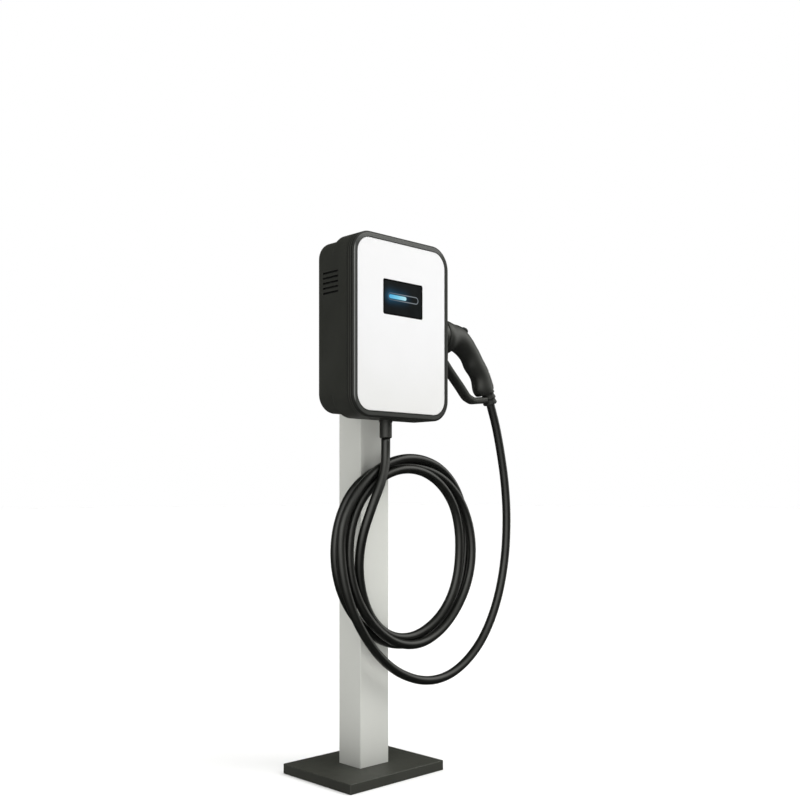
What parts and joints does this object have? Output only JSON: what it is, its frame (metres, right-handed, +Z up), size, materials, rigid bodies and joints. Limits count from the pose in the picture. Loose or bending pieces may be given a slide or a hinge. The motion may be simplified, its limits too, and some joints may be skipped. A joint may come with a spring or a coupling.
{
  "type": "ev charging post",
  "caption": "Free-standing electric vehicle charging post: square post on a covered foot plate, screen-fronted charger box, coiled cable and a pistol-grip connector in a side holster.",
  "frame": {"origin": "centre of the post's footprint, on the ground under the foot plate", "axes": "+X to the right of the charger's face, -Y the way the face looks, +Z up the post"},
  "size_m": [0.533, 0.2259, 1.104],
  "materials": {
    "post_paint": "satin powder coat",
    "base_paint": "fine texture powder coat",
    "hook_paint": "satin powder coat",
    "galvanised_steel": "galvanised",
    "zinc_steel": "zinc plated",
    "aluminium_plate": "milled",
    "housing_plastic": "fine texture",
    "frame_plastic": "fine texture",
    "panel_white": "gloss",
    "screen_face": "gloss",
    "module_dark": "matt",
    "module_grey": "matt",
    "board_green": "gloss lacquer",
    "brass_parts": "plain",
    "seal_rubber": "matt",
    "filter_foam": "open foam",
    "cable_rubber": "satin sheath",
    "handle_plastic": "fine texture",
    "nose_plastic": "satin",
    "latch_plastic": "matt"
  },
  "bodies": {
    "post_assembly": {"adapter_bolts": "zinc_steel", "adapter_plate": "aluminium_plate", "board_components": "module_dark", "board_standoffs": "brass_parts", "cable_coil": "cable_rubber", "cable_hook": "hook_paint", "cable_lead": "cable_rubber", "cable_root": "cable_rubber", "cable_tail": "cable_rubber", "contactor": "module_grey", "control_board": "board_green", "current_sensor_ring": "module_dark", "din_rail": "zinc_steel", "earth_stud": "brass_parts", "energy_meter": "module_grey", "foot_plate": "galvanised_steel", "frame_screws": "zinc_steel", "frame_seal": "seal_rubber", "front_frame": "frame_plastic", "front_panel": "panel_white", "holster": "handle_plastic", "holster_screws": "zinc_steel", "hook_screws": "zinc_steel", "housing_screws": "zinc_steel", "inner_plate": "galvanised_steel", "inner_plate_screws": "zinc_steel", "outlet_gland": "handle_plastic", "outlet_gland_seal": "seal_rubber", "outlet_locknut": "handle_plastic", "post_cap": "housing_plastic", "post_tube": "post_paint", "reader_antenna": "board_green", "rear_housing": "housing_plastic", "residual_current_monitor": "module_grey", "rivet_nuts": "zinc_steel", "screen_bracket": "module_dark", "screen_glass": "screen_face", "screen_module": "module_dark", "supply_gland": "handle_plastic", "supply_locknut": "handle_plastic", "terminal_block": "module_grey", "vent_filter": "filter_foam"},
    "connector": {"connector_shell_front": "handle_plastic", "connector_shell_rear": "handle_plastic", "connector_nose": "nose_plastic", "contact_sleeves": "brass_parts", "latch_pin": "zinc_steel", "latch_spring": "zinc_steel", "shell_screws": "zinc_steel", "clamp_collar": "latch_plastic", "cable_end": "cable_rubber"},
    "latch": {"latch_lever": "latch_plastic"},
    "base_cover": {"base_cover": "base_paint"}
  },
  "joints": [
    {"name": "connector_pull", "type": "slide", "parent": "post_assembly", "child": "connector", "axis": [1, 0, 0], "range_m": [0, 0.1]},
    {"name": "thumb_latch", "type": "hinge", "parent": "connector", "child": "latch", "pos_m": [0.207, -0.066, 0.951], "axis": [0, 1, 0], "range_deg": [0, 6], "stiffness_Nm_per_rad": 1.5, "springref_deg": -8.59, "deforming": ["latch_spring"]},
    {"name": "cover_lift", "type": "slide", "parent": "post_assembly", "child": "base_cover", "axis": [0, 0, 1], "range_m": [0, 0.14]}
  ]
}
